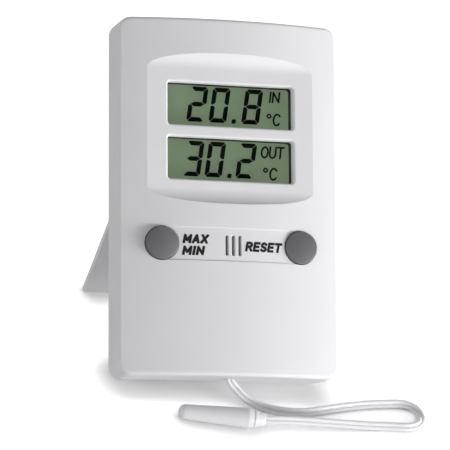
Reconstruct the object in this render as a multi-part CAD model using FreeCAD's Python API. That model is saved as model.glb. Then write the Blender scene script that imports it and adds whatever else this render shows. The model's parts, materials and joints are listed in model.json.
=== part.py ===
import FreeCAD, Part
import math
import os
from FreeCAD import Vector

# Indoor/outdoor thermometer: a case leaning back on its folding stand, with a flat twin
# lead that loops over the table to a probe.
# Case frame, used for drawing: X to the right, Y rearwards from the crown of the front
# face, Z up from the bottom edge.  save_case() leans each case piece back by LEAN_DEG
# about the resting land under the rear cover.  That land is the origin of the table
# frame, whose table top is z = 0.  Lead and probe are drawn in the table frame.
# All sizes are millimetres.

# ---- case
CASE_W = 70.0
CASE_H = 110.0
CASE_D = 20.0            # depth with the stand folded
CROWN_R = 143.4          # radius of the cylindrical front face
CORNER_R = 4.0           # outer corners seen from the front
EDGE_R = 1.2             # front edge rounding
SEAM_Y = 16.2            # plane where the rear cover meets the front cover
WALL_SIDE = 2.0
WALL_FRONT = 1.8
LEAN_DEG = 45.0
REST_CHAMFER = 1.5       # the case rests on this chamfer
LAND_Y = CASE_D - REST_CHAMFER / 2
LAND_Z = REST_CHAMFER / 2

# ---- display field scooped into the crown
FIELD_Y = 2.47           # flat field, behind the crown
FIELD_Z0, FIELD_Z1 = 57.5, 94.27
COVE_R = 6.14
FIELD_WALL = 2.53
WINDOW_X0, WINDOW_X1 = -19.9, 20.3
WINDOW_ZS = ((60.12, 73.36), (76.92, 90.24))
WINDOW_CORNER_R = 1.0
WINDOW_EDGE_R = 0.7

# ---- control strip
STRIP_R = 5.15
LABEL_DEPTH = 0.35
BUTTON_X = 22.05
BUTTON_Z = 40.1
BUTTON_R = 5.05
BUTTON_HOLE_R = BUTTON_R + 0.25
BUTTON_FACE_Y = 0.1      # crest of the domed button
BUTTON_DOME_R = 20.0
BUTTON_TRAVEL = 0.8
STEM_Y1 = 8.2            # rear end of the button stem
SLOT_R = 0.5
SLOT_Z0, SLOT_Z1 = 36.7, 43.0
SLOT_MID_X = 0.12
SLOT_PITCH = 2.05
SLOT_XS = (SLOT_MID_X - SLOT_PITCH, SLOT_MID_X, SLOT_MID_X + SLOT_PITCH)
SLOT_BLOCK_HALF_W = 3.6  # block behind the slots
SLOT_BLOCK_MARGIN_Z = 1.2
SLOT_BLOCK_Y1 = 4.3

# ---- display stack, from front to rear
LENS_Y0 = FIELD_Y + FIELD_WALL
LENS_Y1 = LENS_Y0 + 0.8
BEZEL_Y1 = LENS_Y1 + 1.8
POLARISER_T = 0.2
GLASS_T = 1.0
CELL_GAP = 0.1
SEGMENT_T = 0.08
FRONT_GLASS_Y = BEZEL_Y1 + POLARISER_T
SEGMENT_Y = FRONT_GLASS_Y + GLASS_T      # the figures lie on the front glass
SEGMENT_Y1 = SEGMENT_Y + SEGMENT_T
REAR_GLASS_Y = SEGMENT_Y + CELL_GAP
REFLECTOR_Y = REAR_GLASS_Y + GLASS_T
LCD_HALF_W = 22.5
LCD_Z0, LCD_Z1 = 57.7, 93.7
LEDGE = 2.3              # front glass standing past the rear glass
PCB_Y0 = 12.0
PCB_Y1 = PCB_Y0 + 1.2

# ---- rear cover
REAR_HALF_W = 33.2
REAR_H = 108.8
REAR_CORNER_R = 3.5
TROUGH_Y = 17.2          # floor of the recess for the folded stand
TROUGH_Z0 = 11.5
LIP_Y0 = 14.2            # front end of the skirt
LIP_GAP = 0.2            # clearance to the front cover walls
LIP_T = 1.2
BOSS_R = 2.9
BOSS_JOINT_Y = 15.0      # rear end of the front bosses
KEY_R = 4.0
KEY_SLOT_R = 2.0
KEY_Z = 92.0
KEY_SLOT_L = 7.5

# ---- stand
HINGE_Y, HINGE_Z = 18.4, 47.8
STAND_OPEN_DEG = 62.6
STAND_T = 2.0
STAND_HALF_W = 34.4
STAND_PIN_R = 1.0
STAND_BORE_R = STAND_PIN_R + 0.05
STAND_PIN_X1 = 34.0
STAND_STOP_GAP = 0.045
STAND_WINDOW_HALF_W = 26.2           # window that clears the battery cover
STAND_WINDOW_SPAN = (17.7, 31.4)     # measured along the flap from the pivot
LUG_X0 = 30.2
LUG_R = 2.0

# ---- battery bay, its cover and the AAA cell
CELL_R = 5.25
CELL_Y, CELL_Z = 9.8, 23.0
CELL_X0, CELL_X1 = -20.3, 24.2
CAN_L = 43.6
SLEEVE_T = 0.1
SLEEVE_INSET = 0.7
BAY_X0, BAY_X1 = -27.1, 24.8
BAY_HALF_H = 5.6
BAY_Z0, BAY_Z1 = CELL_Z - BAY_HALF_H, CELL_Z + BAY_HALF_H
BAY_WALL = 1.4
DOOR_T = 1.4
DOOR_X0, DOOR_X1 = -22.4, BAY_X1     # opening the cell passes through
DOOR_MID_X = (DOOR_X0 + DOOR_X1) / 2
DOOR_HINGE_Y = TROUGH_Y - DOOR_T / 2
DOOR_HINGE_Z = 28.9                  # just above the opening
DOOR_PIN_R = 0.6
DOOR_BORE_R = DOOR_PIN_R + 0.05

# ---- screws, (x, z)
CASE_SCREWS = [(x, z) for z in (7.8, CASE_H - 7.8) for x in (-29.2, 29.2)]
PCB_SCREWS = [(x, z) for z in (51.5, 95.5) for x in (-27.5, 27.5)]

# ---- lead
STRAND_R = 0.68
STRAND_PITCH = 1.28
STRAND_HOLE_R = STRAND_R + 0.06
CORE_R = 0.45            # thin wires inside the case
EXIT_X, EXIT_Y = 1.45, 9.0
LEAD_FLAT = Vector(0.0, -0.8098, 0.5868)   # the broad face stays square to this direction


# ------------------------------------------------------------------ helpers
def box(x0, x1, y0, y1, z0, z1):
    return Part.makeBox(x1 - x0, y1 - y0, z1 - z0, Vector(x0, y0, z0))


def rod_x(radius, y, z, x0, x1):
    return Part.makeCylinder(radius, x1 - x0, Vector(x0, y, z), Vector(1, 0, 0))


def rod_y(radius, x, z, y0, y1):
    return Part.makeCylinder(radius, y1 - y0, Vector(x, y0, z), Vector(0, 1, 0))


def rod_z(radius, x, y, z0, z1):
    return Part.makeCylinder(radius, z1 - z0, Vector(x, y, z0), Vector(0, 0, 1))


def polygon_face(points):
    return Part.Face(Part.makePolygon(points + [points[0]]))


def prism_yz(points, x0, x1):
    """Prism along X from an outline of (y, z) points."""
    return polygon_face([Vector(x0, y, z) for y, z in points]).extrude(Vector(x1 - x0, 0, 0))


def prism_xz(points, y0, y1):
    """Prism along Y from an outline of (x, z) points."""
    return polygon_face([Vector(x, y0, z) for x, z in points]).extrude(Vector(0, y1 - y0, 0))


def outline_face(runs, place):
    """Face bounded by runs of two points (a line) or three (an arc); place maps to 3D."""
    edges = []
    for run in runs:
        points = [place(*point) for point in run]
        if len(points) == 2:
            edges.append(Part.makeLine(*points))
        else:
            edges.append(Part.Arc(*points).toShape())
    return Part.Face(Part.Wire(edges))


def rounded_box(x0, x1, z0, z1, r, y0, y1):
    """Rounded rectangle in XZ, extruded along Y."""
    k = r * (1 - math.sqrt(0.5))     # inset of the middle of a corner arc
    face = outline_face((
        ((x0 + r, z0), (x1 - r, z0)),
        ((x1 - r, z0), (x1 - k, z0 + k), (x1, z0 + r)),
        ((x1, z0 + r), (x1, z1 - r)),
        ((x1, z1 - r), (x1 - k, z1 - k), (x1 - r, z1)),
        ((x1 - r, z1), (x0 + r, z1)),
        ((x0 + r, z1), (x0 + k, z1 - k), (x0, z1 - r)),
        ((x0, z1 - r), (x0, z0 + r)),
        ((x0, z0 + r), (x0 + k, z0 + k), (x0 + r, z0)),
    ), lambda x, z: Vector(x, y0, z))
    return face.extrude(Vector(0, y1 - y0, 0))


def crown(radius):
    """Solid inside the crown cylinder of the given radius."""
    return Part.makeCylinder(radius, 160.0, Vector(0, CROWN_R, -25.0), Vector(0, 0, 1))


def scoop(flat_y, z0, z1, r):
    """Everything in front of the display field profile, with a cove at each end."""
    centre_y = flat_y - r
    front_y = -12.0
    half_w = 45
    k = r * math.sqrt(0.5)
    face = outline_face((
        ((flat_y, z0), (flat_y, z1)),
        ((flat_y, z1), (centre_y + k, z1 + k), (centre_y, z1 + r)),
        ((centre_y, z1 + r), (front_y, z1 + r)),
        ((front_y, z1 + r), (front_y, z0 - r)),
        ((front_y, z0 - r), (centre_y, z0 - r)),
        ((centre_y, z0 - r), (centre_y + k, z0 - k), (flat_y, z0)),
    ), lambda y, z: Vector(-half_w, y, z))
    return face.extrude(Vector(2 * half_w, 0, 0))


def upright_slot(x, z0, z1, radius, y0, y1):
    """Obround cutter along Y; z0 and z1 are the centres of its round ends."""
    slot = box(x - radius, x + radius, y0, y1, z0, z1)
    return slot.fuse([rod_y(radius, x, z0, y0, y1), rod_y(radius, x, z1, y0, y1)])


def twin_hole(x, y, z0, z1):
    """Hole along Z for the twin lead, its strands side by side in X."""
    half = STRAND_PITCH / 2
    hole = box(x - half, x + half, y - STRAND_HOLE_R, y + STRAND_HOLE_R, z0, z1)
    return hole.fuse([rod_z(STRAND_HOLE_R, x - half, y, z0, z1),
                      rod_z(STRAND_HOLE_R, x + half, y, z0, z1)])


def both_sides(inner, outer):
    """The X span on the left, then its mirror image on the right."""
    return ((-outer, -inner), (inner, outer))


def fillet(shape, radius, pick):
    """Round the picked edges; the shape is returned as it is if there are none."""
    edges = [edge for edge in shape.Edges if pick(edge)]
    return shape.makeFillet(radius, edges) if edges else shape


def join(shapes):
    joined = shapes[0]
    if len(shapes) > 1:
        joined = joined.fuse(shapes[1:])
    return joined.removeSplitter()


def interpolated_curve(points):
    """The spline through the points, with its start point and start tangent."""
    curve = Part.BSplineCurve()
    curve.interpolate([Vector(*point) for point in points])
    first = curve.FirstParameter
    return curve, curve.value(first), curve.tangent(first)[0]


def round_wire(points, radius):
    curve, start, tangent = interpolated_curve(points)
    profile = Part.Wire(Part.makeCircle(radius, start, tangent))
    return Part.Wire(curve.toShape()).makePipeShell([profile], True, False)


def table_point(x, y, z):
    """Table-frame coordinates of a case-frame point."""
    cos, sin = math.cos(math.radians(LEAN_DEG)), math.sin(math.radians(LEAN_DEG))
    y, z = y - LAND_Y, z - LAND_Z
    return (x, y * cos + z * sin, z * cos - y * sin)


def save(name, shape):
    shape.exportStep("parts/" + name + ".step")


def save_case(name, shape):
    """Lean a case piece back into the table frame and write it."""
    leaned = shape.copy()
    leaned.rotate(Vector(0, LAND_Y, LAND_Z), Vector(1, 0, 0), -LEAN_DEG)
    leaned.translate(Vector(0, -LAND_Y, -LAND_Z))
    save(name, leaned)


os.makedirs("parts", exist_ok=True)


# ------------------------------------------------------------------ front cover
def front_shell():
    """Outer form with the display field, hollowed from the rear."""
    body = rounded_box(-CASE_W / 2, CASE_W / 2, 0, CASE_H, CORNER_R, -1.0, SEAM_Y)
    body = body.common(crown(CROWN_R))
    edge_y = (CASE_W / 2) ** 2 / (2 * CROWN_R) + 0.3     # just behind the side edges

    def is_front(edge):
        bounds = edge.BoundBox
        return bounds.YMax < edge_y + 0.1 and bounds.YLength <= SEAM_Y - edge_y - 1.0
    body = fillet(body, EDGE_R, is_front)
    body = body.cut(scoop(FIELD_Y, FIELD_Z0, FIELD_Z1, COVE_R)).removeSplitter()

    cavity = rounded_box(-CASE_W / 2 + WALL_SIDE, CASE_W / 2 - WALL_SIDE,
                         WALL_SIDE, CASE_H - WALL_SIDE, 2.2, 0.0, SEAM_Y + 2)
    cavity = cavity.common(crown(CROWN_R - WALL_FRONT))
    cavity = cavity.cut(scoop(FIELD_Y + FIELD_WALL, FIELD_Z0, FIELD_Z1, COVE_R + FIELD_WALL))
    return body.cut(cavity)


def cut_windows(body):
    for z0, z1 in WINDOW_ZS:
        body = body.cut(rounded_box(WINDOW_X0, WINDOW_X1, z0, z1, WINDOW_CORNER_R, 1.0, 6.5))

    def is_window_front(edge):
        bounds = edge.BoundBox
        return (abs(bounds.YMin - FIELD_Y) < 1e-4 and abs(bounds.YMax - FIELD_Y) < 1e-4
                and bounds.XMin > WINDOW_X0 - 0.1 and bounds.XMax < WINDOW_X1 + 0.1
                and bounds.ZMin > WINDOW_ZS[0][0] - 0.1 and bounds.ZMax < WINDOW_ZS[1][1] + 0.1)
    return fillet(body, WINDOW_EDGE_R, is_window_front)


def cut_control_strip(body):
    """Sunken label strip, button holes and air slots."""
    strip = join([box(-BUTTON_X, BUTTON_X, -3.0, 6.0, BUTTON_Z - STRIP_R, BUTTON_Z + STRIP_R),
                  rod_y(STRIP_R, -BUTTON_X, BUTTON_Z, -3.0, 6.0),
                  rod_y(STRIP_R, BUTTON_X, BUTTON_Z, -3.0, 6.0)])
    body = body.cut(strip.cut(crown(CROWN_R - LABEL_DEPTH)))
    for x in (-BUTTON_X, BUTTON_X):
        body = body.cut(rod_y(BUTTON_HOLE_R, x, BUTTON_Z, -3, 7.0))
    block = box(SLOT_MID_X - SLOT_BLOCK_HALF_W, SLOT_MID_X + SLOT_BLOCK_HALF_W,
                1.0, SLOT_BLOCK_Y1, SLOT_Z0 - SLOT_BLOCK_MARGIN_Z, SLOT_Z1 + SLOT_BLOCK_MARGIN_Z)
    body = body.fuse(block).removeSplitter()
    for x in SLOT_XS:
        body = body.cut(upright_slot(x, SLOT_Z0 + SLOT_R, SLOT_Z1 - SLOT_R, SLOT_R, -1, 6))

    def is_slot_front(edge):
        bounds = edge.BoundBox
        return (bounds.YMin > 0.3 and bounds.YMax < 0.45
                and bounds.XMin > SLOT_XS[0] - 0.6 and bounds.XMax < SLOT_XS[2] + 0.6
                and bounds.ZMin > SLOT_Z0 - 0.05 and bounds.ZMax < SLOT_Z1 + 0.05)
    return fillet(body, 0.2, is_slot_front)


def front_cover():
    body = cut_control_strip(cut_windows(front_shell()))
    # bosses for the case screws, posts for the board
    bosses = [rod_y(BOSS_R, x, z, 4.1, BOSS_JOINT_Y) for x, z in CASE_SCREWS]
    posts = [rod_y(2.2, x, z, 4.0, PCB_Y0) for x, z in PCB_SCREWS]
    body = body.fuse(bosses + posts)
    for x, z in CASE_SCREWS:
        body = body.cut(rod_y(1.0, x, z, 6.4, 18.4))
    for x, z in PCB_SCREWS:
        body = body.cut(rod_y(0.8, x, z, 6.0, 14.0))
    # lead outlet through the bottom wall
    body = body.cut(rod_z(2.2, EXIT_X, EXIT_Y, -1, 3.0))
    return body.removeSplitter()


save_case("front_cover", front_cover())

# ------------------------------------------------------------------ rear cover and stand
OPEN_ANGLE = math.radians(STAND_OPEN_DEG)
FLAP_DIR = (math.sin(OPEN_ANGLE), -math.cos(OPEN_ANGLE))     # (y, z) along the open flap
FLAP_NORMAL = (math.cos(OPEN_ANGLE), math.sin(OPEN_ANGLE))   # (y, z) out of its upper face


def flap_point(along, out):
    """(y, z) at a distance along the open flap from the pivot and out of its mid plane."""
    return (HINGE_Y + along * FLAP_DIR[0] + out * FLAP_NORMAL[0],
            HINGE_Z + along * FLAP_DIR[1] + out * FLAP_NORMAL[1])


def flap_prism(along0, along1, half_t, x0, x1):
    return prism_yz([flap_point(along0, half_t), flap_point(along1, half_t),
                     flap_point(along1, -half_t), flap_point(along0, -half_t)], x0, x1)


def trough_top_z(y):
    """Upper wall of the trough: parallel to the open flap, one stop gap above it."""
    offset = STAND_T / 2 + STAND_STOP_GAP
    return HINGE_Z + (offset - (y - HINGE_Y) * FLAP_NORMAL[0]) / FLAP_NORMAL[1]


def rear_shell():
    body = rounded_box(-REAR_HALF_W, REAR_HALF_W, 0.0, REAR_H, REAR_CORNER_R, SEAM_Y, CASE_D)

    def is_rear(edge):
        bounds = edge.BoundBox
        return bounds.YMin > CASE_D - 1e-4 and bounds.ZMax > REAR_CORNER_R + 1e-3
    body = fillet(body, 1.5, is_rear)
    # resting land along the bottom rear edge
    body = body.cut(prism_yz([(CASE_D - REST_CHAMFER, -1e-9), (CASE_D + 1, REST_CHAMFER + 1),
                              (CASE_D + 1, -1), (CASE_D - REST_CHAMFER - 1, -1)], -40, 40))
    # trough for the folded stand
    body = body.cut(prism_yz([(TROUGH_Y, TROUGH_Z0), (TROUGH_Y, trough_top_z(TROUGH_Y)),
                              (CASE_D + 1, trough_top_z(CASE_D + 1)),
                              (CASE_D + 1, TROUGH_Z0)], -40, 40))
    # skirt inside the front cover
    lip_x = CASE_W / 2 - WALL_SIDE - LIP_GAP
    lip_z = WALL_SIDE + LIP_GAP
    body = body.fuse(rounded_box(-lip_x, lip_x, lip_z, CASE_H - lip_z, 2.0,
                                 LIP_Y0, SEAM_Y + 0.2))
    # hollow, leaving a floor in front of the trough
    hollow = rounded_box(-lip_x + LIP_T, lip_x - LIP_T, lip_z + LIP_T, CASE_H - lip_z - LIP_T,
                         1.2, LIP_Y0 - 1, 18.2)
    return body.cut(hollow.cut(box(-40, 40, 15.6, 19, 7.5, 51.2)))


def battery_bay():
    """Bay walls and the two cradles for the cell."""
    z0, z1 = BAY_Z0 - BAY_WALL, BAY_Z1 + BAY_WALL
    walls = box(BAY_X0 - BAY_WALL, BAY_X1 + BAY_WALL, 5.0, 15.8, z0, z1)
    solids = [walls.cut(box(BAY_X0, BAY_X1, 4.0, 17.0, BAY_Z0, BAY_Z1))]
    for x in (-12.0, 12.0):
        rib = box(x - 1, x + 1, 3.0, CELL_Y, z0, z1)
        solids.append(rib.cut(rod_x(CELL_R + 0.12, CELL_Y, CELL_Z, x - 2, x + 2)))
    return solids


def stand_lugs():
    solids = []
    for x0, x1 in both_sides(LUG_X0, REAR_HALF_W):
        solids.append(rod_x(LUG_R, HINGE_Y, HINGE_Z, x0, x1))
        solids.append(box(x0, x1, 16.4, HINGE_Y, HINGE_Z - LUG_R, HINGE_Z + LUG_R))
    return solids


def rear_cover():
    body = rear_shell()
    boss_y = BOSS_JOINT_Y + 0.05
    for x, z in CASE_SCREWS:
        body = body.cut(rod_y(3.2, x, z, LIP_Y0 - 1, boss_y))
    bosses = [rod_y(BOSS_R, x, z, boss_y, 18.4) for x, z in CASE_SCREWS]
    body = body.fuse(bosses + battery_bay() + stand_lugs())
    for x0, x1 in both_sides(31.2, STAND_PIN_X1):
        body = body.cut(rod_x(STAND_BORE_R, HINGE_Y, HINGE_Z, x0, x1))
    # opening, rebate and pivot sockets for the battery cover
    body = body.cut(box(DOOR_X0, DOOR_X1, 15.0, 21.0, BAY_Z0, BAY_Z1))
    body = body.cut(box(DOOR_X0 - 0.9, DOOR_X1 + 0.9, TROUGH_Y - DOOR_T - 0.15, 21.0,
                        BAY_Z0 - 0.8, DOOR_HINGE_Z + 0.9))
    body = body.cut(rod_x(DOOR_BORE_R, DOOR_HINGE_Y, DOOR_HINGE_Z, DOOR_X0 - 2, DOOR_X1 + 2))
    # screw clearance and counterbores
    for x, z in CASE_SCREWS:
        body = body.cut(rod_y(1.15, x, z, 13, 22))
        body = body.cut(rod_y(2.4, x, z, 18.3, 22.3))
    # keyhole
    body = body.cut(rod_y(KEY_R, 0, KEY_Z, 14, 22))
    body = body.cut(box(-KEY_SLOT_R, KEY_SLOT_R, 14, 22, KEY_Z, KEY_Z + KEY_SLOT_L))
    body = body.cut(rod_y(KEY_SLOT_R, 0, KEY_Z + KEY_SLOT_L, 14, 22))
    # rear air slots
    for i in range(5):
        body = body.cut(upright_slot(-8.0 + 4.0 * i, 62.6, 75.4, 0.6, 16, 22))
    # finger notch below the folded stand
    notch = rod_y(7.0, 0, TROUGH_Z0 + 4.2, 18.0, 21.0)
    body = body.cut(notch.common(box(-8, 8, 17, 22, 8.0, TROUGH_Z0 + 0.01)))
    # notches in the upper bay wall for the supply wires
    for x0, x1 in ((-26.8, -25.2), (22.8, 24.6)):
        body = body.cut(box(x0, x1, 4.0, 8.0, BAY_Z1 - 0.2, BAY_Z1 + 2.0))
    return body.removeSplitter()


save_case("rear_cover", rear_cover())


def stand():
    """The stand in its open position, its foot cut to the table plane."""
    half_t = STAND_T / 2

    def table_reach(out):
        """Distance along the flap to the table, where y - z is constant at a 45 degree lean."""
        y, z = flap_point(0.0, out)
        return (LAND_Y - LAND_Z - (y - z)) / (FLAP_DIR[0] - FLAP_DIR[1])
    flap = prism_yz([flap_point(0, half_t), flap_point(table_reach(half_t), half_t),
                     flap_point(table_reach(-half_t), -half_t), flap_point(0, -half_t)],
                    -STAND_HALF_W, STAND_HALF_W)
    flap = flap.fuse(rod_x(half_t, HINGE_Y, HINGE_Z, -STAND_HALF_W, STAND_HALF_W))
    # pockets around the lugs; thin cheeks stay outside them
    for x0, x1 in both_sides(29.9, 33.35):
        flap = flap.cut(flap_prism(-2.5, 2.45, 1.6, x0, x1))
    window = flap_prism(*STAND_WINDOW_SPAN, 2.0, -STAND_WINDOW_HALF_W, STAND_WINDOW_HALF_W)
    normal = Vector(0, *FLAP_NORMAL)
    window = fillet(window, 2.0, lambda edge: abs(edge.Curve.Direction.dot(normal)) > 0.999)
    flap = flap.cut(window).removeSplitter()
    pins = [rod_x(STAND_PIN_R, HINGE_Y, HINGE_Z, x0, x1)
            for x0, x1 in both_sides(31.4, STAND_PIN_X1)]
    return flap.fuse(pins).removeSplitter()


save_case("stand", stand())


def battery_cover():
    x0, x1 = DOOR_X0 - 0.7, DOOR_X1 + 0.7
    y0, y1 = TROUGH_Y - DOOR_T, TROUGH_Y
    body = box(x0, x1, y0, y1, BAY_Z0 - 0.6, DOOR_HINGE_Z)
    body = body.fuse(rod_x(DOOR_T / 2, DOOR_HINGE_Y, DOOR_HINGE_Z, x0, x1))
    # pivot stubs and the rib inside the free edge
    body = body.fuse([rod_x(DOOR_PIN_R, DOOR_HINGE_Y, DOOR_HINGE_Z, x0 - 1.0, x1 + 1.0),
                      box(DOOR_MID_X - 5.7, DOOR_MID_X + 5.7, 15.0, y0 + 0.1,
                          BAY_Z0 + 0.5, BAY_Z0 + 1.3)])
    body = body.removeSplitter()
    # thumb grip along the free edge: three shallow grooves
    for i in range(3):
        z = BAY_Z0 + 0.8 + 1.5 * i
        body = body.cut(box(DOOR_MID_X - 5.9, DOOR_MID_X + 5.9, y1 - 0.35, y1 + 1,
                            z - 0.35, z + 0.35))
    return body.removeSplitter()


save_case("battery_cover", battery_cover())


# ------------------------------------------------------------------ display stack
def lcd_bezel():
    bezel = rounded_box(-23.4, 23.4, 57.6, 94.2, 1.0, LENS_Y1, BEZEL_Y1)
    gap = 0.02
    for z0, z1 in WINDOW_ZS:
        bezel = bezel.cut(rounded_box(WINDOW_X0 - gap, WINDOW_X1 + gap, z0 - gap, z1 + gap,
                                      WINDOW_CORNER_R, 5.0, 9.0))
    return bezel


def lcd_layer(half_w, y0, y1, inset):
    """Flat layer inset from the top and bottom of the front glass."""
    return box(-half_w, half_w, y0, y1, LCD_Z0 + inset, LCD_Z1 - inset)


def lcd_seal():
    seal = lcd_layer(LCD_HALF_W, SEGMENT_Y, REAR_GLASS_Y, LEDGE)
    return seal.cut(lcd_layer(21.7, SEGMENT_Y - 1, REAR_GLASS_Y + 1, LEDGE + 0.8))


def lcd_holder():
    frame = rounded_box(-24.6, 24.6, 56.4, 95.0, 1.2, BEZEL_Y1 + 0.02, PCB_Y0 - 0.03)
    return frame.cut(lcd_layer(LCD_HALF_W + 0.1, 7.0, 13.0, -0.1))


def contact_strips():
    """Strips from the ledges of the front glass back to the board."""
    return Part.makeCompound([
        box(-21.0, 21.0, SEGMENT_Y, PCB_Y0, LCD_Z0 + 0.1, LCD_Z0 + LEDGE - 0.1),
        box(-21.0, 21.0, SEGMENT_Y, PCB_Y0, LCD_Z1 - LEDGE + 0.1, LCD_Z1 - 0.1)])


save_case("display_lens", rounded_box(-22.4, 22.4, 57.6, 94.1, 1.0, LENS_Y0, LENS_Y1))
save_case("lcd_bezel", lcd_bezel())
save_case("lcd_front_polariser", lcd_layer(21.6, BEZEL_Y1, FRONT_GLASS_Y, LEDGE + 0.2))
save_case("lcd_front_glass", lcd_layer(LCD_HALF_W, FRONT_GLASS_Y, SEGMENT_Y, 0))
save_case("lcd_seal", lcd_seal())
save_case("lcd_rear_glass", lcd_layer(LCD_HALF_W, REAR_GLASS_Y, REFLECTOR_Y, LEDGE))
save_case("lcd_reflector", lcd_layer(21.9, REFLECTOR_Y, REFLECTOR_Y + POLARISER_T, LEDGE + 0.2))
save_case("lcd_holder", lcd_holder())
save_case("contact_strips", contact_strips())

# ------------------------------------------------------------------ figures and lettering
DIGIT_SEGMENTS = {"0": "abcdef", "2": "abged", "3": "abgcd", "8": "abcdefg"}
DIGIT_H = 11.0
DIGIT_BAR = 1.40         # width of the bars
DIGIT_CLIP = 0.85        # clipped corner of the figure
DIGIT_SLANT = 0.15       # shift in x per unit of height
# figure, left x, base z, width
DIGITS = (
    ("2", -12.35, 79.2, 5.7), ("0", -5.2, 79.2, 5.7), ("8", 5.35, 79.2, 5.7),
    ("3", -13.6, 62.15, 5.6), ("0", -6.6, 62.15, 5.55), ("2", 3.35, 62.15, 5.6),
)
DECIMAL_POINTS = ((3.0, 79.85), (1.5, 62.75))        # centre x, z
POINT_HALF = 0.68
LCD_STROKE = 0.56
# text, left x, right x, base z, height
LCD_CAPTIONS = (("IN", 14.45, 17.85, 86.3, 3.55), ("OUT", 11.5, 19.1, 68.7, 3.9))
LCD_UNITS = (("C", 15.45, 18.0, 78.95, 4.1), ("C", 14.2, 16.85, 61.85, 4.1))
DEGREE_RINGS = ((14.45, 82.1), (13.2, 65.05))        # centre x, z

INK_T = 0.04
INK_STROKE = 0.80
# text, left x, right x, base z, height, gap between letters
LEGENDS = (
    ("MAX", -15.75, -8.0, 40.1, 2.9, 0.22),
    ("MIN", -15.95, -9.25, 36.52, 2.9, 0.3),
    ("RESET", 3.75, 15.50, 38.16, 3.1, 0.15),
)


def digit(figure, x0, z0, w):
    """Up to seven stubby bars with clipped outer corners and narrow gaps between them."""
    h, t, c = DIGIT_H, DIGIT_BAR, DIGIT_CLIP
    m, q = h / 2, t / 2
    tip, neck = 0.72, t + 0.12
    # outlines as (across, up) from the lower left corner of the figure
    bar = [(c + 0.12, 0), (w - c - 0.12, 0), (w - c + 0.18, 0.09),
           (w - 0.5 * c - 0.04, 0.5 * c - 0.06), (w - t - 0.06, t), (t + 0.06, t),
           (0.5 * c + 0.04, 0.5 * c - 0.06), (c - 0.18, 0.09)]
    post = [(0, c + 0.08), (0.08, c - 0.20), (0.5 * c - 0.04, 0.5 * c + 0.06), (t, t + 0.08),
            (t, m - q - 0.06), (0.62 * t, m - 0.30), (0.30 * t, m - 0.17), (0.06, m - 0.32),
            (0, m - 0.50)]
    middle = [(tip, m + 0.08), (tip, m - 0.08), (neck, m - 0.52), (neck + 0.1, m - q),
              (w - neck - 0.1, m - q), (w - neck, m - 0.52), (w - tip, m - 0.08),
              (w - tip, m + 0.08), (w - neck, m + 0.52), (w - neck - 0.1, m + q),
              (neck + 0.1, m + q), (neck, m + 0.52)]
    outlines = {
        "a": [(u, h - v) for u, v in bar],
        "b": [(w - u, h - v) for u, v in post],
        "c": [(w - u, v) for u, v in post],
        "d": bar,
        "e": post,
        "f": [(u, h - v) for u, v in post],
        "g": middle,
    }
    return [prism_xz([(x0 + u + DIGIT_SLANT * v, z0 + v) for u, v in outlines[segment]],
                     SEGMENT_Y, SEGMENT_Y1) for segment in DIGIT_SEGMENTS[figure]]


def decimal_point(x, z):
    """A small slanted square with rounded corners."""
    half = 0.5 * POINT_HALF      # both the corner radius and the offset of its centre
    points = []
    for side_x, side_z, start in ((1, 1, 0), (-1, 1, 90), (-1, -1, 180), (1, -1, 270)):
        for i in range(4):
            angle = math.radians(start + 30 * i)
            u = side_x * half + half * math.cos(angle)
            v = side_z * half + half * math.sin(angle)
            points.append((x + u + DIGIT_SLANT * v, z + v))
    return prism_xz(points, SEGMENT_Y, SEGMENT_Y1)


def arc(x, z, rx, rz, start, end, steps):
    """Points on an ellipse arc, angles in degrees."""
    angles = [math.radians(start + (end - start) * i / steps) for i in range(steps + 1)]
    return [(x + rx * math.cos(angle), z + rz * math.sin(angle)) for angle in angles]


# stroke alphabet on a cell 1 high; each glyph is (width, polylines)
GLYPHS = {
    "M": (0.80, [[(0, 0), (0, 1), (0.40, 0.28), (0.80, 1), (0.80, 0)]]),
    "A": (0.72, [[(0, 0), (0.36, 1), (0.72, 0)], [(0.12, 0.30), (0.60, 0.30)]]),
    "X": (0.70, [[(0, 0), (0.70, 1)], [(0, 1), (0.70, 0)]]),
    "I": (0.0, [[(0, 0), (0, 1)]]),
    "N": (0.66, [[(0, 0), (0, 1), (0.66, 0), (0.66, 1)]]),
    "E": (0.56, [[(0.56, 0), (0, 0), (0, 1), (0.56, 1)], [(0, 0.52), (0.49, 0.52)]]),
    "T": (0.66, [[(0, 1), (0.66, 1)], [(0.33, 1), (0.33, 0)]]),
    "R": (0.64, [[(0, 0), (0, 1), (0.36, 1)] + arc(0.36, 0.75, 0.26, 0.25, 90, -90, 6)
                 + [(0, 0.5)], [(0.33, 0.5), (0.64, 0)]]),
    "S": (0.60, [arc(0.30, 0.745, 0.28, 0.255, 30, 270, 8)
                 + arc(0.30, 0.245, 0.30, 0.245, 90, -150, 8)]),
    "C": (0.66, [arc(0.36, 0.5, 0.36, 0.5, 42, 318, 12)]),
    "O": (0.72, [arc(0.36, 0.5, 0.36, 0.5, 0, 360, 16)]),
    "U": (0.66, [[(0, 1), (0, 0.32)] + arc(0.33, 0.32, 0.33, 0.32, 180, 360, 8) + [(0.66, 1)]]),
}


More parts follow.
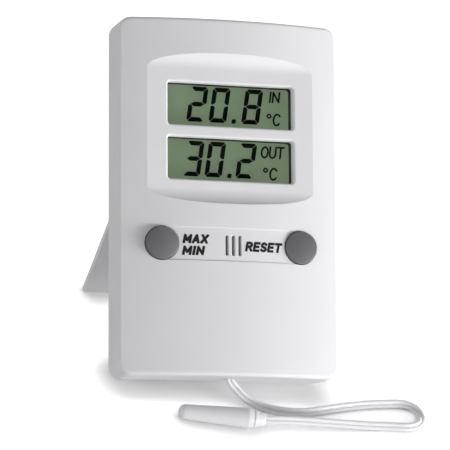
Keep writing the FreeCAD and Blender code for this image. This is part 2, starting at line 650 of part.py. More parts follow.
def strokes(polylines, width, y0, y1):
    """Bars along each polyline with round joints; open ends run on by half the width."""
    solids = []
    for line in polylines:
        closed = math.dist(line[0], line[-1]) < 1e-6
        last = len(line) - 2
        for i in range(last + 1):
            (xa, za), (xb, zb) = line[i], line[i + 1]
            length = math.hypot(xb - xa, zb - za)
            if length < 1e-6:
                continue
            dx, dz = (xb - xa) / length * width / 2, (zb - za) / length * width / 2
            if i == 0 and not closed:
                xa, za = xa - dx, za - dz
            if i == last and not closed:
                xb, zb = xb + dx, zb + dz
            solids.append(prism_xz([(xa - dz, za + dx), (xb - dz, zb + dx),
                                    (xb + dz, zb - dx), (xa + dz, za - dx)], y0, y1))
        for x, z in line[0 if closed else 1:-1]:
            solids.append(rod_y(width / 2, x, z, y0, y1))
    return solids


def word(text, x0, x1, z0, height, stroke, slant, y0, y1, gap=None):
    """Text filling x0 to x1 on its base line, clipped to the height.

    Spare width goes between the letters; with a given gap, or too little room,
    the letters are stretched or squeezed instead.
    """
    scale = height - stroke
    natural = sum(GLYPHS[letter][0] * scale + stroke for letter in text)
    count = len(text)
    stretched = gap is not None
    if not stretched:
        gap = (x1 - x0 - natural) / max(1, count - 1)
        stretched = gap < 0.1
        gap = max(gap, 0.1)
    stretch = 1.0
    if stretched:
        inked = stroke * count
        stretch = (x1 - x0 - gap * (count - 1) - inked) / (natural - inked)
    x = x0 + stroke / 2
    solids = []
    band = box(x0 - 3, x1 + 3, y0 - 1, y1 + 1, z0, z0 + height)
    for letter in text:
        width, polylines = GLYPHS[letter]
        placed = [[(x + u * scale * stretch + slant * v * scale, z0 + stroke / 2 + v * scale)
                   for u, v in line] for line in polylines]
        solids.append(join(strokes(placed, stroke, y0, y1)).common(band))
        x += width * scale * stretch + stroke + gap
    return solids


def lcd_segments():
    solids = []
    for entry in DIGITS:
        solids += digit(*entry)
    solids += [decimal_point(x, z) for x, z in DECIMAL_POINTS]
    for entry in LCD_CAPTIONS:
        solids += word(*entry, LCD_STROKE, 0.12, SEGMENT_Y, SEGMENT_Y1)
    for x, z in DEGREE_RINGS:
        disc = rod_y(0.80, x, z, SEGMENT_Y, SEGMENT_Y1)
        solids.append(disc.cut(rod_y(0.32, x, z, SEGMENT_Y - 1, SEGMENT_Y + 2)))
    for entry in LCD_UNITS:
        solids += word(*entry, LCD_STROKE, 0.10, SEGMENT_Y, SEGMENT_Y1)
    return Part.makeCompound(solids)


def printed_legends():
    """Ink lying on the curved label strip."""
    strip_r = CROWN_R - LABEL_DEPTH
    shell = crown(strip_r + INK_T).cut(crown(strip_r))
    ink = []
    for text, x0, x1, z0, height, gap in LEGENDS:
        patch = shell.common(box(x0 - 2, x1 + 3, -1, 3, z0 - 1, z0 + height + 1))
        for letter in word(text, x0, x1, z0, height, INK_STROKE, 0.20, -1.0, 3.0, gap):
            ink += letter.common(patch).Solids
    return Part.makeCompound(ink)


save_case("lcd_segments", lcd_segments())
save_case("printed_legends", printed_legends())

# ------------------------------------------------------------------ circuit board
CHIP_RESISTORS = ((-17, 80), (-9, 80), (-13, 60), (18, 60))      # x, z
CHIP_CAPACITORS = ((-13, 80), (-17, 60), (14, 60), (18, 80))     # x, z
SWITCH_Y0 = STEM_Y1 + BUTTON_TRAVEL + 0.05   # clears the stem at the end of its travel
SENSOR_Z = 39.9


def circuit_board():
    board = rounded_box(-30.0, 30.0, 32.6, 98.6, 1.0, PCB_Y0, PCB_Y1)
    for x, z in PCB_SCREWS:
        board = board.cut(rod_y(1.0, x, z, 10, 15))
    return board


def chip_blob():
    ball = Part.makeSphere(9.0, Vector(6.0, PCB_Y1 - 7.4, 70.0))
    return ball.common(box(-10, 20, PCB_Y1, PCB_Y1 + 3, 60, 80))


def crystal():
    """Can with two leads at its lower end."""
    y = PCB_Y1 + 1.02
    can = rod_z(1.0, -9.0, y, 66.0, 72.0)
    return can.fuse([rod_z(0.18, x, y, 64.6, 66.1) for x in (-9.35, -8.65)]).removeSplitter()


def chips(places):
    return Part.makeCompound([box(x - 0.8, x + 0.8, PCB_Y1, PCB_Y1 + 0.5, z - 0.4, z + 0.4)
                              for x, z in places])


def room_thermistor():
    """Bead behind the front air slots, on two legs from the board."""
    bead = Part.makeSphere(1.1, Vector(0, 7.0, SENSOR_Z))
    return join([bead] + [rod_y(0.2, x, SENSOR_Z, 7.4, PCB_Y0) for x in (-0.6, 0.6)])


def switch_body(x):
    body = box(x - 3, x + 3, SWITCH_Y0, PCB_Y0, BUTTON_Z - 3, BUTTON_Z + 3)
    return body.cut(rod_y(1.25, x, BUTTON_Z, SWITCH_Y0 - 1, SWITCH_Y0 + 2.3))


def button(x):
    """Domed cap with a retaining flange and a stem."""
    rim_y = BUTTON_FACE_Y + BUTTON_DOME_R - math.sqrt(BUTTON_DOME_R ** 2 - BUTTON_R ** 2)
    cap = rod_y(BUTTON_R, x, BUTTON_Z, BUTTON_FACE_Y - 1, 5.0)
    cap = cap.common(Part.makeSphere(BUTTON_DOME_R,
                                     Vector(x, BUTTON_FACE_Y + BUTTON_DOME_R, BUTTON_Z)))
    cap = fillet(cap, 0.4, lambda edge: abs(edge.BoundBox.YMax - rim_y) < 0.01
                 and edge.BoundBox.YLength < 0.01)
    flange = rod_y(6.2, x, BUTTON_Z, 4.85, 5.85)
    stem = rod_y(2.0, x, BUTTON_Z, 5.5, STEM_Y1)
    return cap.fuse([flange, stem]).removeSplitter()


save_case("circuit_board", circuit_board())
save_case("chip_blob", chip_blob())
save_case("crystal", crystal())
save_case("chip_resistors", chips(CHIP_RESISTORS))
save_case("chip_capacitors", chips(CHIP_CAPACITORS))
save_case("room_thermistor", room_thermistor())
save_case("switch_bodies", Part.makeCompound([switch_body(-BUTTON_X), switch_body(BUTTON_X)]))
for label, button_x in (("maxmin", -BUTTON_X), ("reset", BUTTON_X)):
    save_case("button_" + label, button(button_x))
    save_case("plunger_" + label, rod_y(1.2, button_x, BUTTON_Z, STEM_Y1, STEM_Y1 + 1.9))

# ------------------------------------------------------------------ cell and contacts
SPRING_X0 = -26.55
SPRING_X1 = CELL_X0 - 0.06
SPRING_R = 3.0
SPRING_WIRE_R = 0.3
SPRING_END = 0.35        # allowance for the wire at each end
# y, z of the supply wires, from the bay to the board, with the x of each wire
SUPPLY_YZ = ((6.0, 27.1), (6.0, 29.6), (6.9, 31.9), (9.2, 33.7), (10.9, 34.3), (11.95, 34.5))
RED_XS = (23.75, 23.75, 23.9, 24.3, 24.5, 24.5)
BLACK_XS = (-26.05, -26.05, -26.1, -26.3, -26.5, -26.5)


def cell_can():
    can = rod_x(CELL_R - SLEEVE_T, CELL_Y, CELL_Z, CELL_X0, CELL_X0 + CAN_L)
    return fillet(can, 0.5, lambda edge: edge.BoundBox.XLength < 1e-4)


def cell_sleeve():
    sleeve = rod_x(CELL_R, CELL_Y, CELL_Z, CELL_X0 + SLEEVE_INSET, CELL_X0 + CAN_L - SLEEVE_INSET)
    return sleeve.cut(rod_x(CELL_R - SLEEVE_T, CELL_Y, CELL_Z, CELL_X0 - 1, CELL_X0 + 49))


def cell_terminal():
    terminal = rod_x(1.9, CELL_Y, CELL_Z, CELL_X0 + CAN_L, CELL_X1)
    return fillet(terminal, 0.25, lambda edge: edge.BoundBox.XMin > CELL_X1 - 1e-4)


def end_plate(x0):
    return box(x0, x0 + 0.4, CELL_Y - 4.4, CELL_Y + 4.4, CELL_Z - 4.5, CELL_Z + 4.5)


def contact_spring():
    helix = Part.makeHelix(1.45, SPRING_X1 - SPRING_X0 - 2 * SPRING_END, SPRING_R)
    profile = Part.Wire(Part.makeCircle(SPRING_WIRE_R, Vector(SPRING_R, 0, 0), Vector(0, 1, 0)))
    coil = Part.Wire(helix).makePipeShell([profile], True, True)
    coil.rotate(Vector(0, 0, 0), Vector(0, 1, 0), 90)
    coil.translate(Vector(SPRING_X0 + SPRING_END, CELL_Y, CELL_Z))
    return coil


def supply_wire(xs):
    return round_wire([(x, y, z) for x, (y, z) in zip(xs, SUPPLY_YZ)], CORE_R)


save_case("cell_can", cell_can())
save_case("cell_sleeve", cell_sleeve())
save_case("cell_terminal", cell_terminal())
save_case("contact_plate", end_plate(24.28))
save_case("spring_plate", end_plate(-27.0))
save_case("contact_spring", contact_spring())
save_case("supply_wire_red", supply_wire(RED_XS))
save_case("supply_wire_black", supply_wire(BLACK_XS))


# ------------------------------------------------------------------ screws
def cut_cross(head, x, z, half_w, half_l, y0, y1):
    """Cut a cross recess into a screw head."""
    head = head.cut(box(x - half_w, x + half_w, y0, y1, z - half_l, z + half_l))
    return head.cut(box(x - half_l, x + half_l, y0, y1, z - half_w, z + half_w))


def case_screw(x, z):
    head = rod_y(2.1, x, z, 18.35, 19.75)
    head = fillet(head, 0.4, lambda edge: edge.BoundBox.YMin > 19.74)
    head = cut_cross(head, x, z, 0.3, 1.5, 19.0, 21)
    return head.fuse(rod_y(0.95, x, z, 7.0, 18.5)).removeSplitter()


def board_screw(x, z):
    head = rod_y(1.8, x, z, PCB_Y1 + 0.02, PCB_Y1 + 1.12)
    head = cut_cross(head, x, z, 0.25, 1.2, PCB_Y1 + 0.6, 16)
    return head.fuse(rod_y(0.75, x, z, 6.6, PCB_Y1 + 0.3)).removeSplitter()


save_case("case_screws", Part.makeCompound([case_screw(x, z) for x, z in CASE_SCREWS]))
save_case("board_screws", Part.makeCompound([board_screw(x, z) for x, z in PCB_SCREWS]))

# ------------------------------------------------------------------ probe
# Drawn upright along Z from its tip, then laid on the table.
PROBE_TIP = (-16.126, -18.145)
PROBE_HEADING = (0.98529, -0.17092)
TIP_R, TIP_S = 2.30, 1.6         # radius and distance from the tip where the taper starts
BIG_R, BIG_S = 3.13, 21.3        # and where it ends
TAPER = (BIG_R - TIP_R) / (BIG_S - TIP_S)
PROBE_AXIS = Vector(*PROBE_HEADING, TAPER).normalize()
PROBE_TURN = FreeCAD.Rotation(Vector(0, 0, 1), PROBE_AXIS)
# outlines as (distance from the tip, radius)
BODY_PROFILE = ((0, 0), (0, TIP_R - TAPER * TIP_S), (BIG_S, BIG_R), (22.9, 2.80), (22.9, 0))
COLLAR_PROFILE = ((19.6, 0), (19.6, 1.55), (22.95, 1.55), (22.95, 2.38), (23.35, 2.38),
                  (23.35, 2.64), (25.9, 1.98), (26.5, 1.74), (26.5, 0))


def probe_point(distance):
    """Point on the probe axis; the taper resting on the table tilts the axis."""
    return Vector(PROBE_TIP[0] + PROBE_HEADING[0] * distance,
                  PROBE_TIP[1] + PROBE_HEADING[1] * distance,
                  TIP_R + 0.012 + TAPER * (distance - TIP_S))


def revolved(profile):
    face = polygon_face([Vector(radius, 0, distance) for distance, radius in profile])
    return face.revolve(Vector(0, 0, 0), Vector(0, 0, 1), 360)


def lay_on_table(shape):
    laid = shape.copy()
    laid.Placement = FreeCAD.Placement(probe_point(0), PROBE_TURN).multiply(laid.Placement)
    return laid


def flat_turn():
    """Turn about the probe axis, in degrees, that lines its twin hole up with the lead."""
    across = PROBE_TURN.multVec(Vector(1, 0, 0))
    side = LEAD_FLAT.cross(PROBE_AXIS).normalize()
    angle = math.degrees(across.getAngle(side))
    return -angle if across.cross(side).dot(PROBE_AXIS) < 0 else angle


def probe_body():
    body = revolved(BODY_PROFILE)
    body = fillet(body, 1.95, lambda edge: edge.BoundBox.ZMax < 0.01
                  and edge.BoundBox.XLength > 3)
    body = fillet(body, 0.4, lambda edge: abs(edge.BoundBox.ZMax - BIG_S) < 1e-4
                  and edge.BoundBox.ZLength < 1e-4)
    return lay_on_table(body.cut(rod_z(1.6, 0, 0, 2.2, 24.2)))


def probe_collar():
    collar = revolved(COLLAR_PROFILE).cut(twin_hole(0, 0, 19, 27))
    collar.rotate(Vector(0, 0, 0), Vector(0, 0, 1), flat_turn())
    # small dimple on the top
    offset = Vector(-0.044, -0.008, 1) * 2.3
    return lay_on_table(collar).cut(Part.makeSphere(0.42, probe_point(24.7) + offset))


def probe_leads():
    leads = Part.makeCompound([rod_z(0.2, x, 0, 6.18, 19.3) for x in (-0.5, 0.5)])
    leads.rotate(Vector(0, 0, 0), Vector(0, 0, 1), flat_turn())
    return lay_on_table(leads)


save("probe_body", probe_body())
save("probe_collar", probe_collar())
save("probe_thermistor", lay_on_table(Part.makeSphere(1.2, Vector(0, 0, 5.0))))
save("probe_leads", probe_leads())

# ------------------------------------------------------------------ lead and outlet bush
# Stations of the lead centre line.
LEAD_EXIT_ZS = (7.5, 6.0, 4.6, 3.2, 1.8, 0.6, -0.3)      # case z, down through the bush
# x, y, z in the table frame: down to the table and out to the loop
LEAD_OUT = (
    (3.23, -9.56, 4.66), (4.78, -10.91, 3.45), (6.93, -12.14, 2.40), (9.72, -13.31, 1.60),
    (13.18, -14.63, 1.22), (17.40, -15.76, 1.22), (21.80, -16.19, 1.22), (26.05, -15.90, 1.22),
    (30.82, -14.94, 1.22), (35.99, -13.71, 1.22), (41.15, -12.63, 1.22), (46.94, -11.76, 1.22),
    (53.00, -11.22, 1.22),
)
LOOP_X, LOOP_Y, LOOP_R = 57.0, -16.60, 5.47
# angle in degrees round the loop, z
LEAD_LOOP = ((82, 1.22), (55, 1.20), (27, 1.09), (0, 0.90), (-27, 1.09), (-55, 1.20), (-82, 1.22))
# x, y, z in the table frame: back to the probe
LEAD_BACK = (
    (52.20, -22.06, 1.22), (46.84, -21.99, 1.25), (41.60, -21.99, 1.46), (36.33, -22.03, 1.78),
    (31.05, -22.12, 2.19), (26.12, -22.23, 2.59), (21.19, -22.38, 2.95), (16.64, -22.50, 3.20),
    (12.78, -22.66, 3.33),
)
LEAD_PROBE = (26.0, 23.8, 21.2)                          # distances from the probe tip


def outlet_bush():
    bush = rod_z(2.15, EXIT_X, EXIT_Y, 0.05, 2.8).fuse(rod_z(3.0, EXIT_X, EXIT_Y, 2.0, 3.4))
    return bush.cut(twin_hole(EXIT_X, EXIT_Y, -2, 5)).removeSplitter()


def lead_path():
    path = [table_point(EXIT_X, EXIT_Y, z) for z in LEAD_EXIT_ZS]
    path += LEAD_OUT
    for degrees, z in LEAD_LOOP:
        angle = math.radians(degrees)
        path.append((LOOP_X + LOOP_R * math.cos(angle), LOOP_Y + LOOP_R * math.sin(angle), z))
    path += LEAD_BACK
    path += [tuple(probe_point(distance)) for distance in LEAD_PROBE]
    return path


def sensor_lead():
    """Two merged strands swept along the path."""
    curve, start, tangent = interpolated_curve(lead_path())
    across = LEAD_FLAT.cross(tangent).normalize()
    normal = tangent.cross(across).normalize()
    half = STRAND_PITCH / 2
    groove = normal * math.sqrt(STRAND_R ** 2 - half ** 2)
    reach = across * (half + STRAND_R)
    arcs = [Part.Arc(start + groove, start + reach, start - groove).toShape(),
            Part.Arc(start - groove, start - reach, start + groove).toShape()]
    sweep = Part.BRepOffsetAPI.MakePipeShell(Part.Wire(curve.toShape()))
    sweep.setBiNormalMode(LEAD_FLAT)
    sweep.add(Part.Wire(arcs))
    sweep.build()
    sweep.makeSolid()
    return sweep.shape()


def lead_core(side, board_x):
    """Wire from one strand (side -1 or 1) up to the board."""
    dx = side * STRAND_PITCH / 2
    return round_wire([
        (EXIT_X + dx, EXIT_Y, 7.56), (EXIT_X + dx, EXIT_Y - 0.5, 9.0),
        (EXIT_X + dx * 1.4, 5.6, 11.6), (EXIT_X + dx * 1.8, 3.5, 14.4),
        (EXIT_X + dx * 2, 3.1, 20.0), (EXIT_X + dx * 2 + 0.6, 3.2, 26.0),
        (EXIT_X + dx * 2 + 1.8, 3.9, 30.0), (board_x - 0.6, 6.2, 32.6),
        (board_x, 10.0, 34.3), (board_x, 11.95, 34.7)], CORE_R)


save_case("outlet_bush", outlet_bush())
save("sensor_lead", sensor_lead())
save_case("lead_cores", Part.makeCompound([lead_core(-1, 7.0), lead_core(1, 10.0)]))
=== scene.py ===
"""Looks and studio for a white moulded display unit with buttons, a cell box, a lead and a probe.

The script works in metres with +Z up. The case leans back 45 degrees: its front faces -Y and up.
Only the section on exact normals works in the case's own upright frame, in mm:
X across, Y from front to rear, Z from bottom to top.
"""
import bpy
import json
import math
import numpy as np
from mathutils import Matrix, Vector


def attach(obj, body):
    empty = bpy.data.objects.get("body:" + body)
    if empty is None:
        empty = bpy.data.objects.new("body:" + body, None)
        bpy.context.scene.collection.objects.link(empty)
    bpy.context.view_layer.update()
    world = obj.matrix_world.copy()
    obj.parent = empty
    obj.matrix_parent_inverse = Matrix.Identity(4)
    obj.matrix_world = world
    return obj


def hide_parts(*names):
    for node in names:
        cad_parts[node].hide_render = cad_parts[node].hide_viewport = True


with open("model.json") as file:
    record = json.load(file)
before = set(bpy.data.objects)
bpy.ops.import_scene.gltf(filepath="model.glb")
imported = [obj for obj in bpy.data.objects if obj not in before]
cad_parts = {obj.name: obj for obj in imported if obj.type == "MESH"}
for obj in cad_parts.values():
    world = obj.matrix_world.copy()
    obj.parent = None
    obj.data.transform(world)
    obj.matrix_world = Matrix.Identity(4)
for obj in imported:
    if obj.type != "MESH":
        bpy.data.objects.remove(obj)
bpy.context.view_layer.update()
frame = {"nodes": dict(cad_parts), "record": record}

scene = bpy.context.scene


# ------------------------------------------------------------------ node helpers
class Nodes:
    """A node tree, with short ways to add the nodes used here."""

    def __init__(self, tree):
        self.tree = tree
        self.coords = self.add("ShaderNodeTexCoord")

    def add(self, kind, inputs=None, **settings):
        """Add a node; each input is given a value or the output that feeds it."""
        node = self.tree.nodes.new(kind)
        for setting, value in settings.items():
            setattr(node, setting, value)
        for socket, value in (inputs or {}).items():
            if isinstance(value, bpy.types.NodeSocket):
                self.tree.links.new(value, node.inputs[socket])
            else:
                node.inputs[socket].default_value = value
        return node

    def noise(self, scale, detail=3.0, roughness=0.5, stretch=None):
        place = self.coords.outputs["Object"]
        if stretch is not None:
            mapping = self.add("ShaderNodeMapping", {"Vector": place, "Scale": stretch})
            place = mapping.outputs["Vector"]
        return self.add("ShaderNodeTexNoise", {
            "Vector": place,
            "Scale": scale,
            "Detail": detail,
            "Roughness": roughness,
        }).outputs["Fac"]

    def remap(self, value, low=0.0, high=1.0, from_low=0.3, from_high=0.7):
        """Map from_low..from_high, by default the busy middle of a noise, to low..high."""
        return self.add("ShaderNodeMapRange", {
            "Value": value,
            "From Min": from_low,
            "From Max": from_high,
            "To Min": low,
            "To Max": high,
        }).outputs["Result"]

    def mix(self, factor, *colours):
        """Mix two colours, each an RGB tuple or an output."""
        inputs = {0: factor}
        for socket, colour in zip((6, 7), colours):    # the Mix node's colour inputs
            inputs[socket] = (*colour, 1.0) if isinstance(colour, tuple) else colour
        return self.add("ShaderNodeMix", inputs, data_type="RGBA").outputs[2]

    def bump(self, height, distance):
        inputs = {"Height": height, "Distance": distance}
        return self.add("ShaderNodeBump", inputs).outputs["Normal"]

    def calculate(self, operation, *values):
        inputs = dict(enumerate(values))
        return self.add("ShaderNodeMath", inputs, operation=operation).outputs[0]

    def finish(self, shader):
        self.add("ShaderNodeOutputMaterial", {"Surface": shader.outputs[0]})

    def principled(self, inputs):
        self.finish(self.add("ShaderNodeBsdfPrincipled", inputs))


materials = {}


def new_material(name):
    """Register an empty material and return its nodes."""
    material = materials[name] = bpy.data.materials.new(name)
    material.use_nodes = True
    material.node_tree.nodes.clear()
    return Nodes(material.node_tree)


def scaled(colour, factor):
    return tuple(min(1.0, max(0.0, value * factor)) for value in colour)


# ------------------------------------------------------------------ kinds of material
def moulded(name, colour, roughness=0.42, grain=0.00025, relief=0.000004, mottle=0.02,
            coat=0.0, specular=0.5):
    """Moulded plastic: fine grain of the given size, slow colour drift, uneven gloss."""
    nodes = new_material(name)
    slow = nodes.noise(scale=55.0, detail=2.0)
    fine = nodes.noise(scale=1.0 / grain, detail=4.0, roughness=0.6)
    middle = nodes.noise(scale=1.0 / (grain * 9), roughness=0.55)
    drift = nodes.mix(nodes.remap(slow), scaled(colour, 1 - mottle), scaled(colour, 1 + mottle))
    dark = scaled(colour, 1 - 2.2 * mottle)
    gloss_spread = 0.06
    nodes.principled({
        "Base Color": nodes.mix(nodes.remap(fine, high=0.35), drift, dark),
        "Roughness": nodes.remap(middle, roughness - gloss_spread, roughness + gloss_spread),
        "Specular IOR Level": specular,
        "Coat Weight": coat,
        "Coat Roughness": 0.15,
        "Normal": nodes.bump(fine, relief),
    })


def metal(name, colour, roughness, stretch=(1, 1, 30)):
    """Plated or brushed metal with a drawn grain and light tarnish."""
    nodes = new_material(name)
    grain = nodes.noise(scale=900.0, detail=4.0, roughness=0.6, stretch=stretch)
    spots = nodes.noise(scale=260.0, roughness=0.6)
    tarnished = nodes.mix(nodes.remap(spots), scaled(colour, 0.88), colour)
    nodes.principled({
        "Base Color": nodes.mix(nodes.remap(grain, high=0.5), tarnished, scaled(colour, 0.8)),
        "Metallic": 1.0,
        "Roughness": nodes.remap(grain, roughness - 0.08, roughness + 0.1),
        "Normal": nodes.bump(grain, distance=0.000003),
    })


def clear(name, tint, ior, roughness):
    """Clear sheet: light passes straight through, tinted, under a Fresnel reflection."""
    nodes = new_material(name)
    smear = nodes.noise(scale=120.0, roughness=0.6)
    through = nodes.add("ShaderNodeBsdfTransparent", {
        "Color": nodes.mix(nodes.remap(smear), tint, scaled(tint, 0.985)),
    })
    reflection = nodes.add("ShaderNodeBsdfGlossy", {
        "Color": (1, 1, 1, 1),
        "Roughness": nodes.remap(smear, roughness, roughness + 0.05),
    })
    fresnel = nodes.add("ShaderNodeFresnel", {"IOR": ior})
    nodes.finish(nodes.add("ShaderNodeMixShader", {
        0: fresnel.outputs["Fac"],
        1: through.outputs[0],
        2: reflection.outputs[0],
    }))


def banded(name, first, second, pitch, axis):
    """Layered rubber: alternate conducting and insulating layers along one axis."""
    nodes = new_material(name)
    bands = nodes.add("ShaderNodeTexWave", {
        "Vector": nodes.coords.outputs["Object"],
        "Scale": 1.0 / pitch / 20.0 * 2 * math.pi,
        "Distortion": 0.0,
    }, bands_direction=axis)
    fine = nodes.noise(scale=2500.0)
    nodes.principled({
        "Base Color": nodes.mix(bands.outputs["Fac"], first, second),
        "Roughness": nodes.remap(fine, 0.5, 0.7),
    })


def board(name, resist, track):
    """Solder resist with the faint relief of tracks beneath it."""
    nodes = new_material(name)
    cells = nodes.add("ShaderNodeTexVoronoi", {
        "Vector": nodes.coords.outputs["Object"],
        "Scale": 330.0,
    }, distance="CHEBYCHEV", feature="DISTANCE_TO_EDGE")
    fine = nodes.noise(scale=1800.0)
    # tracks run along the cell edges
    tracks = nodes.remap(cells.outputs["Distance"], low=1.0, high=0.0,
                         from_low=0.04, from_high=0.10)
    nodes.principled({
        "Base Color": nodes.mix(tracks, resist, track),
        "Roughness": nodes.remap(fine, 0.28, 0.42),
        "Normal": nodes.bump(tracks, distance=0.00003),
    })


def transflector(name, colour, painted_glow):
    """Rear layer of the display: matt, finely brushed, with a painted glow, an even emission
    standing in for light the layer does not make.
    """
    nodes = new_material(name)
    brushed = nodes.noise(scale=1400.0, roughness=0.55, stretch=(0.12, 1.0, 1.0))
    slow = nodes.noise(scale=70.0, detail=2.0)
    drift = nodes.mix(nodes.remap(slow), scaled(colour, 0.97), scaled(colour, 1.03))
    nodes.principled({
        "Base Color": nodes.mix(nodes.remap(brushed, high=0.5), drift, scaled(colour, 0.94)),
        "Roughness": nodes.remap(brushed, 0.5, 0.62),
        "Specular IOR Level": 0.1,
        # painted glow: emission that brightens the shaded display layer, drifting slowly
        "Emission Color": nodes.mix(nodes.remap(slow), scaled(painted_glow, 0.96), scaled(painted_glow, 1.04)),
        "Emission Strength": 1.0,
        "Normal": nodes.bump(brushed, distance=0.000003),
    })


# ------------------------------------------------------------------ materials
WHITE = (0.797, 0.797, 0.812)

moulded("case_white", WHITE, roughness=0.44)
for name, shade in (("rear_white", 0.985), ("stand_white", 0.98), ("door_white", 0.985)):
    moulded(name, scaled(WHITE, shade), roughness=0.50, grain=0.0003, relief=0.000006)
moulded("button_grey", (0.160, 0.159, 0.171), roughness=0.40, grain=0.0002, relief=0.000006,
        mottle=0.04)
moulded("legend_ink", (0.006, 0.006, 0.007), roughness=0.50, grain=0.00012, relief=0.000003,
        mottle=0.10)

# display stack
clear("lens_clear", (0.985, 0.99, 0.985), ior=1.15, roughness=0.02)
clear("polariser_film", (0.96, 0.975, 0.955), ior=1.05, roughness=0.10)
clear("lcd_glass", (0.99, 0.995, 0.99), ior=1.03, roughness=0.04)
# painted glow on the display's rear layer, standing in for light it does not make
transflector("lcd_ground", (0.16, 0.20, 0.145), painted_glow=(0.149, 0.185, 0.131))
moulded("lcd_black", (0.004, 0.007, 0.005), roughness=0.5, grain=0.0001, relief=0.000001,
        mottle=0.05, specular=0.1)
moulded("seal_grey", (0.25, 0.26, 0.25), roughness=0.6)
moulded("bezel_black", (0.02, 0.02, 0.022), roughness=0.55, mottle=0.05)
moulded("holder_plastic", (0.62, 0.62, 0.60), roughness=0.5)
banded("zebra_rubber", (0.02, 0.02, 0.02), (0.30, 0.30, 0.32), pitch=0.0001, axis="X")

# board and its parts
board("board_green", resist=(0.025, 0.13, 0.05), track=(0.06, 0.26, 0.11))
moulded("epoxy_black", (0.015, 0.015, 0.016), roughness=0.25, grain=0.0006, relief=0.00001,
        coat=0.3)
metal("crystal_can", (0.70, 0.70, 0.68), roughness=0.30)
moulded("resistor_black", (0.04, 0.04, 0.045), roughness=0.45, grain=0.0001)
moulded("capacitor_tan", (0.48, 0.34, 0.20), roughness=0.5, grain=0.0001)
moulded("bead_epoxy", (0.02, 0.02, 0.022), roughness=0.25, grain=0.0005, relief=0.00001,
        coat=0.4)
moulded("switch_black", (0.03, 0.03, 0.032), roughness=0.5)
moulded("plunger_brown", (0.22, 0.12, 0.07), roughness=0.45)

# cell, contacts, wiring and fixings
metal("cell_steel", (0.68, 0.68, 0.67), roughness=0.30, stretch=(30, 1, 1))
moulded("cell_wrap", (0.10, 0.16, 0.30), roughness=0.25, grain=0.0004, coat=0.3)
metal("terminal_steel", (0.75, 0.74, 0.72), roughness=0.25)
metal("contact_nickel", (0.72, 0.71, 0.68), roughness=0.30)
metal("spring_wire", (0.70, 0.70, 0.69), roughness=0.28)
moulded("wire_red", (0.55, 0.03, 0.02), roughness=0.40, coat=0.1)
moulded("wire_black", (0.02, 0.02, 0.022), roughness=0.40, coat=0.1)
metal("screw_steel", (0.55, 0.55, 0.54), roughness=0.32, stretch=(1, 1, 1))
metal("screw_zinc", (0.70, 0.69, 0.62), roughness=0.32, stretch=(1, 1, 1))
moulded("bush_rubber", (0.70, 0.70, 0.70), roughness=0.6)

# lead and probe
moulded("lead_white", (0.815, 0.815, 0.835), roughness=0.36, grain=0.0005, relief=0.000008,
        coat=0.15)
moulded("core_white", (0.78, 0.78, 0.78), roughness=0.40)
moulded("probe_white", (0.86, 0.86, 0.88), roughness=0.34, grain=0.0003, coat=0.1)
moulded("collar_white", (0.84, 0.84, 0.86), roughness=0.38, grain=0.0003)
metal("tinned_wire", (0.75, 0.75, 0.74), roughness=0.25)

SLOT_OF = {part["node"]: part["material_slot"] for part in frame["record"]["subparts"]}


def dress(obj, node):
    """Fill every slot of the object with the material of its CAD node."""
    for slot in obj.material_slots:
        slot.material = materials[SLOT_OF[node]]


for node, obj in frame["nodes"].items():
    if not obj.material_slots:
        obj.data.materials.append(materials[SLOT_OF[node]])
    dress(obj, node)


# ------------------------------------------------------------------ exact normals on the cover
# Case frame, mm
ROOT_2 = math.sqrt(2.0)
LAND = (19.25, 0.75)          # Y and Z of the resting land, which lies at the scene's origin
CROWN_R = 143.4               # crowned front; its axis is upright, behind the case
CROWN_STEP = 0.35             # depth of the second crowned face behind the first
COVE_R = 6.14                 # hollow curves below and above the flat field
FIELD_Y = 2.47
FIELD_BOTTOM, FIELD_TOP = 57.5, 94.27
COVE_Y = FIELD_Y - COVE_R     # axis of both coves
ON_SURFACE = 0.006            # a vertex this near a surface lies on it
COVE_END_Z, COVE_END_Y = 0.004, 0.01    # slack at the ends of a cove's arc

FLAT_COSINE = 0.9999995       # a face this square to an axis is flat
FACING_COSINE = 0.5           # exact normals must agree this well with their face
BLEND_COSINE = 0.90           # and this well where a blend borrows them


def vectors_to_scene(vectors):
    x, y, z = vectors.T
    return np.stack([x, (y + z) / ROOT_2, (z - y) / ROOT_2], 1)


def vectors_to_case(vectors):
    x, y, z = vectors.T
    return np.stack([x, (y - z) / ROOT_2, (y + z) / ROOT_2], 1)


def unit_rows(vectors):
    return vectors / np.linalg.norm(vectors, axis=1)[:, None]


def crown(radius):
    """Vertex test and outward normals of a crowned face."""
    def test(points):
        return np.abs(np.hypot(points[:, 0], points[:, 1] - CROWN_R) - radius) < ON_SURFACE

    def normals(points):
        x, y, _ = points.T
        return unit_rows(np.stack([x, y - CROWN_R, np.zeros(len(points))], 1))
    return test, normals


def cove(axis_z, side):
    """Vertex test and normals of a cove; side is -1 below its axis and 1 above."""
    def test(points):
        _, y, z = points.T
        on_arc = np.abs(np.hypot(y - COVE_Y, z - axis_z) - COVE_R) < ON_SURFACE
        beyond_field = (z - axis_z) * side > -COVE_END_Z
        return on_arc & beyond_field & (y > COVE_Y - COVE_END_Y)

    def normals(points):
        _, y, z = points.T
        return unit_rows(-np.stack([np.zeros(len(points)), y - COVE_Y, z - axis_z], 1))
    return test, normals


def read_vectors(items, attribute):
    values = np.zeros(len(items) * 3, np.float32)
    items.foreach_get(attribute, values)
    return values.reshape(-1, 3).astype(float)


def read_indices(items, attribute):
    values = np.zeros(len(items), np.int32)
    items.foreach_get(attribute, values)
    return values


